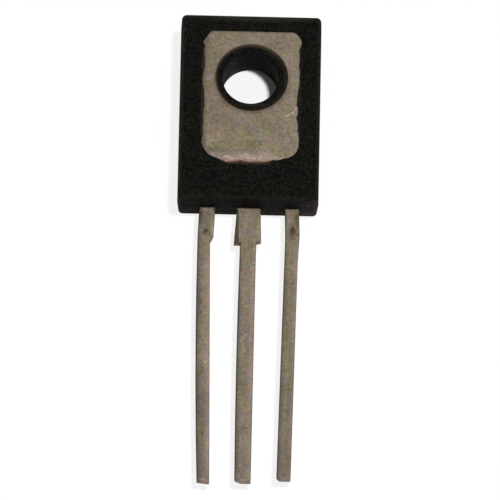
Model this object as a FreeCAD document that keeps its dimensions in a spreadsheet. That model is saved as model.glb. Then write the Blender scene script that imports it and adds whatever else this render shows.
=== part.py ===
import FreeCAD, Part
import math
import os
from types import SimpleNamespace

import Sketcher

# A three-lead power transistor in a flat moulded package, lying on its plain front face.
#
# The origin is on the axis of the screw hole, in the plane of the front face. +Z points out of the
# bare metal face, and the leads run along -Y. Lengths are in millimetres and angles in degrees.
#
# The lead frame (the collector's tab and lead, and the two outer leads), the chip and its bond wires
# are modelled first. The moulding is then a drafted block from which all of them are cut, so the
# plastic fits every piece that it holds.

SIZES = (
    # the moulding
    ("body_width", 7.6, "across, at the parting line"),
    ("body_length", 10.8, "along, at the parting line"),
    ("body_thickness", 2.5, "from the front face to the metal face"),
    ("metal_side_draft", 1.5, "taper of the walls above the parting line"),
    ("front_side_draft", 3.5, "taper of the walls below the parting line"),
    ("corner_radius", 0.3, "upright corners, at the parting line"),
    ("metal_rim_radius", 0.2, "edge round the metal face"),
    ("front_rim_radius", 0.15, "edge round the front face"),
    ("hole_from_top", 3.7, "screw hole's axis to the top end"),
    ("bore_diameter", 3.0, "screw hole"),
    ("liner_wall", 0.47, "plastic between the bore and the tab's hole"),
    ("bore_mouth_radius", 0.1, "edge of the bore at the metal face"),
    ("bore_front_chamfer", 0.15, "edge of the bore at the front face"),
    # the window in the moulding, through which the tab shows
    ("window_side_wall", 1.2, "plastic beside the window"),
    ("window_top_wall", 1.0, "plastic above the window"),
    ("window_end_wall", 2.155, "plastic below the window"),
    ("window_cut_across", 0.4, "cut upper corners, across"),
    ("window_cut_along", 0.65, "cut upper corners, along"),
    ("window_cut_left", 0.41, "cut lower left corner, across"),
    ("window_round_right", 0.78, "rounded lower right corner, across"),
    ("window_corner_rise", 1.1, "lower corners, along"),
    ("flash_reach", 0.18, "how far the flash creeps in over the metal"),
    # the lead frame
    ("frame_shift", 0.06, "how far it sat off the mould's centre line"),
    ("tab_gauge", 1.15, "thickness of the tab"),
    ("tab_lap", 0.3, "how far the tab runs on under the plastic"),
    ("tab_corner_cut", 0.5, "cut corners of the tab"),
    ("rebate_depth", 0.2, "coined step that the plastic grips"),
    ("ramp_length", 0.55, "coined slope at the window's lower end"),
    ("ramp_drop", 0.08, "fall of that slope"),
    ("lead_gauge", 0.5, "thickness of the leads"),
    ("lead_depth", 1.3, "metal face down to the leads"),
    ("lead_pitch", 2.29, "between neighbouring leads, at the moulding"),
    ("lead_reach", 15.69, "moulding's end to the tips"),
    ("lead_edge_radius", 0.08, "rolled upper edges of the leads"),
    ("shoulder_reach", 1.92, "moulding's end to the end of the wide part"),
    ("shoulder_slant", 0.4, "how much of that the cut shoulders take"),
    # the collector lead
    ("neck_flat", 0.3, "level part of the neck below the tab"),
    ("neck_run", 0.5, "length of the neck's step down"),
    ("collector_root", 1.27, "width of the wide part at the moulding"),
    ("collector_width", 0.87, "width of the narrow part"),
    ("collector_lean", 0.04, "drift to the left from shoulder to tip"),
    ("collector_bow", 0.05, "bulge of its left edge"),
    ("collector_flare", 0.065, "how far the right shoulder stands out"),
    ("collector_slant", 0.08, "slope of that shoulder"),
    ("ear_flare", 0.14, "how far the left ear stands out"),
    ("ear_drop", 0.07, "how far it hangs below the right shoulder"),
    ("ear_fold_width", 0.27, "folded edge of the ear, across"),
    ("ear_fold_depth", 0.32, "folded edge of the ear, down"),
    ("collector_tip_across", 0.32, "cut corner at its tip, across"),
    ("collector_tip_along", 0.145, "cut corner at its tip, along"),
    # the base lead
    ("base_outer_root", 0.37, "pitch line to its outer edge"),
    ("base_inner_root", 0.487, "pitch line to its inner edge"),
    ("base_splay", 0.06, "outward drift down to the shoulder"),
    ("base_step", 0.184, "how far its inner shoulder steps in"),
    ("base_lean", 0.24, "inward drift from shoulder to tip"),
    ("base_bow", 0.085, "bulge of its outer edge"),
    ("base_overrun", 0.08, "how much longer it is cut"),
    ("base_tip_slant", 0.08, "slope of its sheared end"),
    # the emitter lead
    ("emitter_outer_root", 0.42, "pitch line to its outer edge"),
    ("emitter_inner_root", 0.352, "pitch line to its inner edge"),
    ("emitter_splay", 0.05, "outward drift down to the shoulder"),
    ("emitter_stub", 0.075, "height of its outer stub"),
    ("emitter_stub_run", 1.5, "length over which that stub fades"),
    ("emitter_lean", 0.17, "inward drift from shoulder to tip"),
    ("emitter_widening", 0.06, "how much wider its tip is, at the inner edge"),
    ("emitter_shortfall", 0.18, "how much shorter it is cut"),
    ("emitter_tip_across", 0.17, "cut corner at its tip, across"),
    ("emitter_tip_along", 0.15, "cut corner at its tip, along"),
    # the bond posts, where the outer leads end inside the plastic
    ("post_width", 1.9, "across"),
    ("post_length", 0.95, "along"),
    ("post_gap", 0.35, "from the tab"),
    ("post_chamfer", 0.2, "its corners"),
    # the chip
    ("chip_side", 1.6, "square"),
    ("chip_thickness", 0.22, "silicon"),
    ("chip_from_hole", 0.75, "clear of the tab's hole"),
    ("solder_thickness", 0.05, "under the chip"),
    ("solder_spread", 0.1, "round the chip, at the tab"),
    # the bond wires
    ("loop_rise", 0.3, "height of the loops over their feet"),
    ("base_wire_diameter", 0.15, "the thin wire"),
    ("base_bond_across", 0.45, "chip's middle to the base bond"),
    ("base_bond_along", 0.5, "chip's middle to the base bond"),
    ("emitter_wire_diameter", 0.25, "the thick wire"),
    ("emitter_bond_across", 0.3, "chip's middle to the emitter bond"),
    ("emitter_bond_along", 0.2, "chip's middle to the emitter bond"),
    ("bond_foot_length", 2.2, "in wire diameters"),
    ("bond_foot_width", 1.5, "in wire diameters"),
    ("bond_foot_height", 0.6, "in wire diameters"),
)

# The window's ragged edge. Each scallop starts at a share of the way along its side and at a share of
# the flash's reach in over the metal, and its middle swells outwards by the third share.
LEFT_SCALLOPS = (
    (0.00, -0.25, 0.00),
    (0.04, 0.35, 0.24),
    (0.16, 0.40, 0.05),
    (0.24, 0.45, 0.55),
    (0.48, 0.28, -0.05),
    (0.64, 0.51, 0.22),
    (0.80, 0.30, 0.14),
    (0.92, 0.27, 0.10),
    (1.00, -0.12, 0.00),
)
LOWER_SCALLOPS = (
    (0.000, 2.05, 0.00),
    (0.202, 0.12, 0.30),
    (0.362, 0.19, 0.00),
    (0.416, 0.66, 0.00),
    (0.469, 0.17, 0.22),
    (0.738, 0.19, 0.20),
    (0.845, 0.79, 0.28),
    (1.000, 1.42, 0.00),
)
RIGHT_SCALLOPS = (
    (0.000, 0.05, 0.22),
    (0.140, 0.47, 0.28),
    (0.260, 0.94, 0.45),
    (0.380, 0.83, -0.10),
    (0.540, 0.44, 0.20),
    (0.660, 0.22, 0.23),
    (0.775, 0.42, 0.25),
    (0.930, 0.43, 0.00),
    (1.000, -0.37, 0.00),
)

# How far the middle of a rounded corner stands in from the square one, as a share of each leg.
QUARTER_ROUND = 1 - math.cos(math.radians(45))
SOFT_CUT = 0.35
MIDDLING_CUT = 0.41
BLUNT_CUT = 0.47
TOUCH = 1e-4  # two heights this near each other are the same


class Size:
    """A number, and the formula over the sheet's cells that gives it."""

    def __init__(self, value, formula):
        self.value = value
        self.formula = formula

    def __add__(self, other):
        return combine(self, "+", other)

    def __radd__(self, other):
        return combine(other, "+", self)

    def __sub__(self, other):
        return combine(self, "-", other)

    def __rsub__(self, other):
        return combine(other, "-", self)

    def __mul__(self, other):
        return combine(self, "*", other)

    def __rmul__(self, other):
        return combine(other, "*", self)

    def __truediv__(self, other):
        return combine(self, "/", other)

    def __neg__(self):
        return combine(0, "-", self)


def as_size(number):
    if isinstance(number, Size):
        return number
    return Size(float(number), f"({float(number):.6f})")


def combine(left, sign, right):
    left = as_size(left)
    right = as_size(right)
    if sign == "+":
        value = left.value + right.value
    elif sign == "-":
        value = left.value - right.value
    elif sign == "*":
        value = left.value * right.value
    else:
        value = left.value / right.value
    return Size(value, f"({left.formula} {sign} {right.formula})")


def diagonal(across, along):
    """The length of a line that goes so far across and so far along."""
    value = math.hypot(across.value, along.value)
    return Size(value, f"sqrt({across.formula} * {across.formula} + {along.formula} * {along.formula})")


def bearing(across, along):
    """The angle of a line that goes so far across and so far along."""
    value = math.degrees(math.atan2(along.value, across.value))
    return Size(value, f"(atan2({along.formula}; {across.formula}) / 1 deg)")


# ---------------------------------------------------------------- the document and its sheet

document = FreeCAD.newDocument("transistor")


def make_sheet():
    sheet = document.addObject("Spreadsheet::Sheet", "Sizes")
    for row, (name, value, note) in enumerate(SIZES, 1):
        sheet.set(f"A{row}", name)
        sheet.set(f"B{row}", str(value))
        sheet.set(f"C{row}", note)
        sheet.setAlias(f"B{row}", name)
    document.recompute()
    return SimpleNamespace(**{name: Size(float(sheet.get(name)), f"Sizes.{name}") for name, _, _ in SIZES})


size = make_sheet()

# ---------------------------------------------------------------- modelling helpers


def bind(feature, **sizes):
    """Gives each named property its size and ties it to the sheet."""
    for name, number in sizes.items():
        setattr(feature, name, number.value)
        feature.setExpression(name, number.formula)


def new_body(name):
    body = document.addObject("PartDesign::Body", name)
    body.Label = name
    return body


def shift_with_frame(piece):
    """Moves a piece across with the lead frame."""
    piece.setExpression("Placement.Base.x", size.frame_shift.formula)


def origin_plane(body, role):
    return next(item for item in body.Origin.OriginFeatures if item.Role == role)


def new_sketch(body, name, role, offset=None):
    """A sketch on one of the body's origin planes, raised along the plane's normal."""
    sketch = body.newObject("Sketcher::SketchObject", name)
    sketch.AttachmentSupport = [(origin_plane(body, role), "")]
    sketch.MapMode = "FlatFace"
    if offset is not None:
        sketch.AttachmentOffset = FreeCAD.Placement(FreeCAD.Vector(0, 0, offset.value), FreeCAD.Rotation())
        sketch.setExpression("AttachmentOffset.Base.z", offset.formula)
    return sketch


def at(x, y, through=None):
    """A corner of an outline. With a through point, the edge that leaves it is an arc."""
    return SimpleNamespace(x=as_size(x), y=as_size(y), through=through)


def rounded(start, square, finish, share=QUARTER_ROUND):
    """The start corner, with an arc to the finish that cuts off the square corner between them."""
    middle = at(
        square.x + (start.x - square.x + finish.x - square.x) * share,
        square.y + (start.y - square.y + finish.y - square.y) * share,
    )
    return at(start.x, start.y, through=middle)


def bowed(start, finish, bulge):
    """The start corner, with a shallow arc to the finish whose middle bulges along X."""
    middle = at((start.x + finish.x) / 2 + bulge, (start.y + finish.y) / 2)
    return at(start.x, start.y, through=middle)


def vector(point):
    return FreeCAD.Vector(point.x.value, point.y.value, 0)


def pin(sketch, geometry, end, point):
    """Ties one end of an edge, or a point, to its place."""
    for kind, number in (("DistanceX", point.x), ("DistanceY", point.y)):
        index = sketch.addConstraint(Sketcher.Constraint(kind, -1, 1, geometry, end, number.value))
        sketch.setExpression(f"Constraints[{index}]", number.formula)


def draw_edge(sketch, corner, following):
    """A line or an arc. Gives its number in the sketch and the numbers of its first and last ends."""
    start = vector(corner)
    finish = vector(following)
    if corner.through is None:
        return sketch.addGeometry(Part.LineSegment(start, finish)), 1, 2
    middle = vector(corner.through)
    # a sketch keeps its arcs anticlockwise, so a clockwise one is drawn from its far end
    clockwise = (middle - start).cross(finish - middle).z < 0
    arc = Part.Arc(finish, middle, start) if clockwise else Part.Arc(start, middle, finish)
    edge = sketch.addGeometry(arc)
    marker = sketch.addGeometry(Part.Point(middle), True)
    pin(sketch, marker, 1, corner.through)
    sketch.addConstraint(Sketcher.Constraint("PointOnObject", marker, 1, edge))
    return (edge, 2, 1) if clockwise else (edge, 1, 2)


def draw_outline(sketch, corners):
    """A closed outline of lines and arcs, with every corner tied to the sheet."""
    edges = [draw_edge(sketch, *pair) for pair in zip(corners, corners[1:] + corners[:1])]
    for (edge, _, last), (following, first, _) in zip(edges, edges[1:] + edges[:1]):
        sketch.addConstraint(Sketcher.Constraint("Coincident", edge, last, following, first))
    for (edge, first, _), corner in zip(edges, corners):
        pin(sketch, edge, first, corner)


def draw_circle(sketch, centre, radius):
    circle = sketch.addGeometry(Part.Circle(vector(centre), FreeCAD.Vector(0, 0, 1), radius.value))
    pin(sketch, circle, 3, centre)
    index = sketch.addConstraint(Sketcher.Constraint("Radius", circle, radius.value))
    sketch.setExpression(f"Constraints[{index}]", radius.formula)


def pad(body, name, sketch, length, side="One side", downwards=False):
    feature = body.newObject("PartDesign::Pad", name)
    feature.Profile = sketch
    feature.SideType = side
    feature.Reversed = downwards
    feature.Refine = False
    bind(feature, Length=length)
    document.recompute()
    return feature


def pocket(body, name, sketch, depth=None):
    """A cut to a given depth below its sketch or, with none, through everything both ways."""
    feature = body.newObject("PartDesign::Pocket", name)
    feature.Profile = sketch
    if depth is None:
        feature.SideType = "Symmetric"
        feature.Type = "ThroughAll"
    else:
        bind(feature, Length=depth)
    document.recompute()
    return feature


def names_where(kind, items, test):
    """Names such as Edge3 or Face2 of the items that pass the test."""
    return [f"{kind}{number}" for number, item in enumerate(items, 1) if test(item)]


def lies_at(item, height):
    box = item.BoundBox
    return abs(box.ZMin - height.value) < TOUCH and abs(box.ZMax - height.value) < TOUCH


def finish_edges(body, kind, name, test, **sizes):
    """A Fillet or Chamfer on each edge of the body so far that passes the test."""
    base = body.Tip
    feature = body.newObject(f"PartDesign::{kind}", name)
    feature.Base = (base, names_where("Edge", base.Shape.Edges, test))
    bind(feature, **sizes)
    document.recompute()
    return feature


def draft_walls(body, name, plane, test, angle, inwards):
    """Tapers each side wall of the body so far that passes the test, about the parting plane."""
    base = body.Tip
    feature = body.newObject("PartDesign::Draft", name)
    feature.Base = (base, names_where("Face", base.Shape.Faces, test))
    feature.NeutralPlane = (plane, [""])
    feature.Reversed = inwards
    bind(feature, Angle=angle)
    document.recompute()
    return feature


# ---------------------------------------------------------------- places that pieces share

body_end = size.hole_from_top - size.body_length
body_half = size.body_width / 2
front_face = as_size(0)
metal_face = size.body_thickness
lead_top = metal_face - size.lead_depth
lead_bottom = lead_top - size.lead_gauge
parting_height = lead_top

bore_radius = size.bore_diameter / 2
tab_hole_radius = bore_radius + size.liner_wall
hole_axis = at(0, 0)

window_half = body_half - size.window_side_wall
window_top = size.hole_from_top - size.window_top_wall
window_end = body_end + size.window_end_wall
rebate_height = metal_face - size.rebate_depth

tab_inner_face = metal_face - size.tab_gauge
tab_half = window_half + size.tab_lap
tab_top = window_top + size.tab_lap
tab_end = window_end - size.tab_lap

chip_middle = -(tab_hole_radius + size.chip_from_hole + size.chip_side / 2)
chip_back = tab_inner_face - size.solder_thickness
chip_face = chip_back - size.chip_thickness

post_top = tab_end - size.post_gap
post_bottom = post_top - size.post_length
post_middle = (post_top + post_bottom) / 2

shoulder_end = body_end - size.shoulder_reach
shoulder_start = shoulder_end + size.shoulder_slant
ear_end = shoulder_end - size.ear_drop
lead_tip = body_end - size.lead_reach


def scallops(rows, place):
    """Corners along a ragged side. place(along, inward) gives the point at those two shares."""
    corners = []
    for (along, inward, swell), (next_along, next_inward, _) in zip(rows, rows[1:]):
        middle = place((along + next_along) / 2, (inward + next_inward) / 2 - swell)
        corner = place(along, inward)
        corners.append(at(corner.x, corner.y, through=middle if swell else None))
    corners.append(place(*rows[-1][:2]))
    return corners


def window_outline():
    """The bare metal's edge, anticlockwise: a straight top, cut upper corners, and flash elsewhere."""
    reach = size.flash_reach
    side_top = window_top - size.window_cut_along
    side_end = window_end + size.window_corner_rise
    lower_left = size.window_cut_left - window_half
    lower_right = window_half - size.window_round_right

    def on_left(along, inward):
        return at(reach * inward - window_half, side_top - (side_top - side_end) * along)

    def on_lower(along, inward):
        return at(lower_left + (lower_right - lower_left) * along, window_end + reach * inward)

    def on_right(along, inward):
        return at(window_half - reach * inward, side_end + (side_top - side_end) * along)

    left = scallops(LEFT_SCALLOPS, on_left)
    lower = scallops(LOWER_SCALLOPS, on_lower)
    right = scallops(RIGHT_SCALLOPS, on_right)
    top_left = at(size.window_cut_across - window_half, window_top)
    top_right = at(window_half - size.window_cut_across, window_top)

    left[-1] = rounded(left[-1], at(left[-1].x, lower[0].y), lower[0], MIDDLING_CUT)
    lower[-1] = rounded(lower[-1], at(right[0].x, lower[-1].y), right[0])
    right[-1] = rounded(right[-1], at(right[-1].x, top_right.y), top_right, SOFT_CUT)
    top_left = rounded(top_left, at(left[0].x, top_left.y), left[0], BLUNT_CUT)
    return left + lower + right + [top_right, top_left]


# ---------------------------------------------------------------- the lead frame


def runs_along_outside(edge, height):
    """True for the long upper edges of a lead, outside the moulding."""
    box = edge.BoundBox
    return lies_at(edge, height) and box.YLength > box.XLength and box.YMax < body_end.value + TOUCH


def roll_upper_edges(body, leave_out=lambda edge: False):
    """The rounding that the stamping die leaves on the side where it enters the strip."""
    finish_edges(
        body,
        "Fillet",
        body.Label + "_rolled_edges",
        lambda edge: runs_along_outside(edge, lead_top) and not leave_out(edge),
        Radius=size.lead_edge_radius,
    )


def tab_outline():
    cut = size.tab_corner_cut
    return [
        at(-tab_half, tab_top - cut),
        at(-tab_half, tab_end + cut),
        at(cut - tab_half, tab_end),
        at(tab_half - cut, tab_end),
        at(tab_half, tab_end + cut),
        at(tab_half, tab_top - cut),
        at(tab_half - cut, tab_top),
        at(cut - tab_half, tab_top),
    ]


def neck_profile():
    """Side view of the neck: level below the tab, then a bend down to the leads' level."""
    gauge = size.lead_gauge
    step = tab_inner_face - lead_bottom
    first_bend = tab_end - size.neck_flat
    second_bend = first_bend - size.neck_run
    start = tab_end + gauge  # well inside the tab
    # the upper face of a bent strip bends this much further along than its lower face
    offset = gauge * step / (diagonal(step, size.neck_run) + size.neck_run)
    return [
        at(start, tab_inner_face),
        at(first_bend, tab_inner_face),
        at(second_bend, lead_bottom),
        at(body_end, lead_bottom),
        at(body_end, lead_top),
        at(second_bend - offset, lead_top),
        at(first_bend - offset, tab_inner_face + gauge),
        at(start, tab_inner_face + gauge),
    ]


def collector_blade():
    """Plan of the collector lead outside the moulding, anticlockwise from its upper left."""
    root_half = size.collector_root / 2
    half = size.collector_width / 2
    tip_left = at(-half - size.collector_lean, lead_tip + size.collector_tip_along)
    return [
        at(-root_half, body_end),
        at(-root_half - size.ear_flare, ear_end),
        bowed(at(-half, ear_end), tip_left, -size.collector_bow),
        tip_left,
        at(tip_left.x + size.collector_tip_across, lead_tip),
        at(half - size.collector_lean, lead_tip),
        at(half, shoulder_end),
        at(root_half + size.collector_flare, shoulder_end + size.collector_slant),
        at(root_half, body_end),
    ]


def fold_section(body, name, y, edge_x, width, depth):
    """A triangle that takes so much off the blade's upper left edge, in the upright plane at y."""
    sketch = new_sketch(body, name, "XZ_Plane", -y)
    draw_outline(
        sketch,
        [
            at(edge_x - width, lead_top - depth * 2),
            at(edge_x + width, lead_top),
            at(edge_x + width, lead_top + depth),
            at(edge_x - width, lead_top + depth),
        ],
    )
    return sketch


def fold_ear(body):
    """The burr that the bar's cut left on the ear: its upper edge folds down more and more."""
    root_x = -size.collector_root / 2
    ear_x = root_x - size.ear_flare
    loft = body.newObject("PartDesign::SubtractiveLoft", "ear_fold")
    loft.Profile = fold_section(
        body, "fold_at_moulding", body_end, root_x, size.lead_edge_radius, size.lead_edge_radius
    )
    loft.Sections = [
        fold_section(body, "fold_at_ear", ear_end, ear_x, size.ear_fold_width, size.ear_fold_depth)
    ]
    loft.Ruled = True
    document.recompute()


def make_collector_tab():
    """The thick tab with its hole, and the thin lead that steps down from it: one stamped piece."""
    body = new_body("collector_tab")

    plate = new_sketch(body, "tab_plan", "XY_Plane", tab_inner_face)
    draw_outline(plate, tab_outline())
    draw_circle(plate, hole_axis, tab_hole_radius)
    pad(body, "tab_plate", plate, size.tab_gauge - size.rebate_depth)

    face = new_sketch(body, "bare_face_plan", "XY_Plane", rebate_height)
    draw_outline(face, window_outline())
    draw_circle(face, hole_axis, tab_hole_radius)
    pad(body, "bare_face", face, size.rebate_depth)

    # the slope runs on at the same pitch as far again, so that it leaves no step at the window's end
    ramp_top = window_end + size.ramp_length
    ramp_bottom = window_end - size.ramp_length
    ramp = new_sketch(body, "ramp_profile", "YZ_Plane")
    draw_outline(
        ramp,
        [
            at(ramp_top, metal_face),
            at(ramp_top, metal_face + size.ramp_drop),
            at(ramp_bottom, metal_face + size.ramp_drop),
            at(ramp_bottom, metal_face - size.ramp_drop * 2),
        ],
    )
    pocket(body, "coined_ramp", ramp)

    neck = new_sketch(body, "neck_side_view", "YZ_Plane")
    draw_outline(neck, neck_profile())
    pad(body, "neck", neck, size.collector_root, side="Symmetric")

    blade = new_sketch(body, "collector_blade_plan", "XY_Plane", lead_bottom)
    draw_outline(blade, collector_blade())
    pad(body, "collector_blade", blade, size.lead_gauge)
    ear_x = -size.collector_root.value / 2 + TOUCH
    roll_upper_edges(body, leave_out=lambda edge: edge.BoundBox.XMax < ear_x)
    fold_ear(body)
    shift_with_frame(body)
    return body


def post_corners(side, outer_root, inner_root):
    """Plan of a bond post, from the lead's outer edge round to its inner edge.

    side is -1 for the lead on the left and 1 for the one on the right.
    """
    half = size.post_width / 2
    cut = size.post_chamfer
    middle = side * size.lead_pitch

    def corner(outward, y):
        return at(middle + side * outward, y)

    return [
        corner(outer_root, body_end),
        corner(outer_root, post_bottom),
        corner(half, post_bottom),
        corner(half, post_top - cut),
        corner(half - cut, post_top),
        corner(cut - half, post_top),
        corner(-half, post_top - cut),
        corner(-half, post_bottom),
        corner(-inner_root, post_bottom),
        corner(-inner_root, body_end),
    ]


def make_outer_lead(name, corners):
    """A flat stamped lead: a bond post inside the plastic and a blade outside."""
    body = new_body(name)
    plan = new_sketch(body, name + "_plan", "XY_Plane", lead_bottom)
    draw_outline(plan, corners)
    pad(body, name + "_strip", plan, size.lead_gauge)
    roll_upper_edges(body)
    shift_with_frame(body)
    return body


def make_base_lead():
    """The left lead. Its inner shoulder is what is left of the bar that joined the leads."""
    outer = size.base_outer_root
    inner = size.base_inner_root
    middle = -size.lead_pitch - size.base_splay

    tip_middle = middle + size.base_lean
    tip = lead_tip - size.base_overrun
    blade_inner = inner - size.base_step
    tip_outer = at(tip_middle - outer, tip + size.base_tip_slant)
    blade = [
        at(middle + inner, shoulder_start),
        at(middle + blade_inner, shoulder_end),
        at(tip_middle + blade_inner, tip),
        bowed(tip_outer, at(middle - outer, shoulder_start), -size.base_bow),
        at(middle - outer, shoulder_start),
    ]
    return make_outer_lead("base_lead", post_corners(-1, outer, inner) + blade)


def make_emitter_lead():
    """The right lead, cut shorter, with a stub on its outer edge that fades out below."""
    outer = size.emitter_outer_root
    inner = size.emitter_inner_root
    middle = size.lead_pitch + size.emitter_splay

    tip_middle = middle - size.emitter_lean
    tip = lead_tip + size.emitter_shortfall
    tip_inner = tip_middle - inner - size.emitter_widening
    blade_outer = outer - size.emitter_stub
    blade = [
        at(middle - inner, shoulder_start),
        at(tip_inner, tip + size.emitter_tip_along),
        at(tip_inner + size.emitter_tip_across, tip),
        at(tip_middle + blade_outer, tip),
        at(middle + blade_outer, shoulder_start - size.emitter_stub_run),
        at(middle + outer, shoulder_start),
    ]
    return make_outer_lead("emitter_lead", post_corners(1, outer, inner) + blade)


# ---------------------------------------------------------------- the chip and its wires


def make_silicon_chip():
    chip = document.addObject("Part::Box", "silicon_chip")
    chip.Label = "silicon_chip"
    bind(chip, Length=size.chip_side, Width=size.chip_side, Height=size.chip_thickness)
    chip.setExpression("Placement.Base.x", (size.frame_shift - size.chip_side / 2).formula)
    chip.setExpression("Placement.Base.y", (chip_middle - size.chip_side / 2).formula)
    chip.setExpression("Placement.Base.z", chip_face.formula)
    return chip


def make_chip_solder():
    """A thin bed that spreads towards the tab."""
    solder = document.addObject("Part::Wedge", "chip_solder")
    solder.Label = "chip_solder"
    half = size.chip_side / 2
    spread = half + size.solder_spread
    bind(solder, Ymin=size.solder_thickness * 0, Ymax=size.solder_thickness)
    bind(solder, Xmin=-half, Xmax=half, Zmin=-half, Zmax=half)
    bind(solder, X2min=-spread, X2max=spread, Z2min=-spread, Z2max=spread)
    # the wedge spreads along its own Y, which is turned to point at the tab
    place = f"placement(vector({size.frame_shift.formula}; {chip_middle.formula}; {chip_back.formula})"
    solder.setExpression("Placement", place + "; rotation(0; 0; 90))")
    return solder


def foot_outline(middle_x, length, width):
    """A slot with round ends, where a wire is pressed flat onto its pad."""
    reach = length / 2 - width / 2
    half = width / 2
    return [
        at(middle_x - reach, half, through=at(middle_x - reach - half, 0)),
        at(middle_x - reach, -half),
        at(middle_x + reach, -half, through=at(middle_x + reach + half, 0)),
        at(middle_x + reach, half),
    ]


def make_bond_wire(name, side, diameter, bond_across, bond_along):
    """A wire that arches from the chip's face to a post.

    It is drawn in its own frame, with x from the chip's bond towards the post and z away from the
    chip's face, and then placed on the chip.
    """
    body = new_body(name)
    radius = diameter / 2
    length = diameter * size.bond_foot_length
    width = diameter * size.bond_foot_width
    height = diameter * size.bond_foot_height

    bond_x = side * bond_across
    bond_y = chip_middle - bond_along
    run_x = side * size.lead_pitch - bond_x
    run_y = post_middle - bond_y
    span = diagonal(run_x, run_y)
    drop = chip_face - lead_bottom
    start = at(0, radius)
    crest = at(span / 2, radius + drop / 2 + size.loop_rise)
    finish = at(span, radius + drop)

    chip_foot = new_sketch(body, name + "_chip_foot_plan", "XY_Plane")
    draw_outline(chip_foot, foot_outline(as_size(0), length, width))
    pad(body, name + "_chip_foot", chip_foot, height)

    path = new_sketch(body, name + "_path", "XZ_Plane")
    edge, first, last = draw_edge(path, at(start.x, start.y, through=crest), finish)
    pin(path, edge, first, start)
    pin(path, edge, last, finish)
    document.recompute()

    section = body.newObject("Sketcher::SketchObject", name + "_section")
    section.AttachmentSupport = [(path, "Edge1")]
    section.MapMode = "NormalToEdge"
    draw_circle(section, at(0, 0), radius)
    loop = body.newObject("PartDesign::AdditivePipe", name + "_loop")
    loop.Profile = section
    loop.Spine = (path, ["Edge1"])
    document.recompute()

    post_foot = new_sketch(body, name + "_post_foot_plan", "XY_Plane", drop)
    draw_outline(post_foot, foot_outline(span, length, width))
    pad(body, name + "_post_foot", post_foot, height)

    origin = f"vector({(bond_x + size.frame_shift).formula}; {bond_y.formula}; {chip_face.formula})"
    turn = f"rotation({bearing(run_x, run_y).formula}; 0; 180)"
    body.setExpression("Placement", f"placement({origin}; {turn})")
    return body


# ---------------------------------------------------------------- the moulding


def rounded_block_outline():
    """The block's plan at the parting line, anticlockwise from its lower left."""
    radius = size.corner_radius
    top = size.hole_from_top
    left_low, right_low = at(radius - body_half, body_end), at(body_half - radius, body_end)
    low_right, high_right = at(body_half, body_end + radius), at(body_half, top - radius)
    right_high, left_high = at(body_half - radius, top), at(radius - body_half, top)
    high_left, low_left = at(-body_half, top - radius), at(-body_half, body_end + radius)
    return [
        left_low,
        rounded(right_low, at(body_half, body_end), low_right),
        low_right,
        rounded(high_right, at(body_half, top), right_high),
        right_high,
        rounded(left_high, at(-body_half, top), high_left),
        high_left,
        rounded(low_left, at(-body_half, body_end), left_low),
    ]


def edge_of_bore(edge):
    box = edge.BoundBox
    return abs(box.XMax - bore_radius.value) < TOUCH and abs(box.YMax - bore_radius.value) < TOUCH


def make_moulding_blank():
    """The block as the mould's two halves would fill it, with the screw hole and the window."""
    body = new_body("moulding_blank")
    parting = body.newObject("PartDesign::Plane", "parting_plane")
    parting.AttachmentSupport = [(origin_plane(body, "XY_Plane"), "")]
    parting.MapMode = "FlatFace"
    parting.setExpression("AttachmentOffset.Base.z", parting_height.formula)

    plan = new_sketch(body, "block_plan", "XY_Plane", parting_height)
    draw_outline(plan, rounded_block_outline())
    pad(body, "metal_side_half", plan, metal_face - parting_height)
    draft_walls(
        body,
        "metal_side_taper",
        parting,
        lambda face: face.BoundBox.ZLength > TOUCH,
        size.metal_side_draft,
        inwards=False,
    )

    plan_again = new_sketch(body, "block_plan_again", "XY_Plane", parting_height)
    draw_outline(plan_again, rounded_block_outline())
    pad(body, "front_half", plan_again, parting_height, downwards=True)
    draft_walls(
        body,
        "front_taper",
        parting,
        lambda face: face.BoundBox.ZLength > TOUCH and face.BoundBox.ZMin < TOUCH,
        size.front_side_draft,
        inwards=True,
    )

    finish_edges(
        body,
        "Fillet",
        "metal_rim",
        lambda edge: lies_at(edge, metal_face),
        Radius=size.metal_rim_radius,
    )
    finish_edges(
        body,
        "Fillet",
        "front_rim",
        lambda edge: lies_at(edge, front_face),
        Radius=size.front_rim_radius,
    )

    window = new_sketch(body, "window_plan", "XY_Plane", metal_face)
    window.setExpression("AttachmentOffset.Base.x", size.frame_shift.formula)
    draw_outline(window, window_outline())
    draw_circle(window, hole_axis, tab_hole_radius)
    pocket(body, "window", window, size.rebate_depth)

    hole = new_sketch(body, "bore_plan", "XY_Plane")
    draw_circle(hole, hole_axis, bore_radius)
    pocket(body, "bore", hole)
    finish_edges(
        body,
        "Fillet",
        "bore_mouth",
        lambda edge: lies_at(edge, metal_face) and edge_of_bore(edge),
        Radius=size.bore_mouth_radius,
    )
    finish_edges(
        body,
        "Chamfer",
        "bore_front",
        lambda edge: lies_at(edge, front_face) and edge_of_bore(edge),
        Size=size.bore_front_chamfer,
    )
    return body


def make_moulded_body(blank, inserts):
    """The plastic: the blank less every piece that it was moulded round."""
    fused = document.addObject("Part::MultiFuse", "inserts")
    fused.Shapes = inserts
    body = document.addObject("Part::Cut", "moulded_body")
    body.Label = "moulded_body"
    body.Base = blank
    body.Tool = fused
    document.recompute()
    return body


# ---------------------------------------------------------------- building and writing


def check(piece):
    shape = piece.Shape
    assert not shape.isNull() and shape.isValid(), f"{piece.Label} has no valid shape"
    assert len(shape.Solids) == 1, f"{piece.Label} is not one solid"


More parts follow.
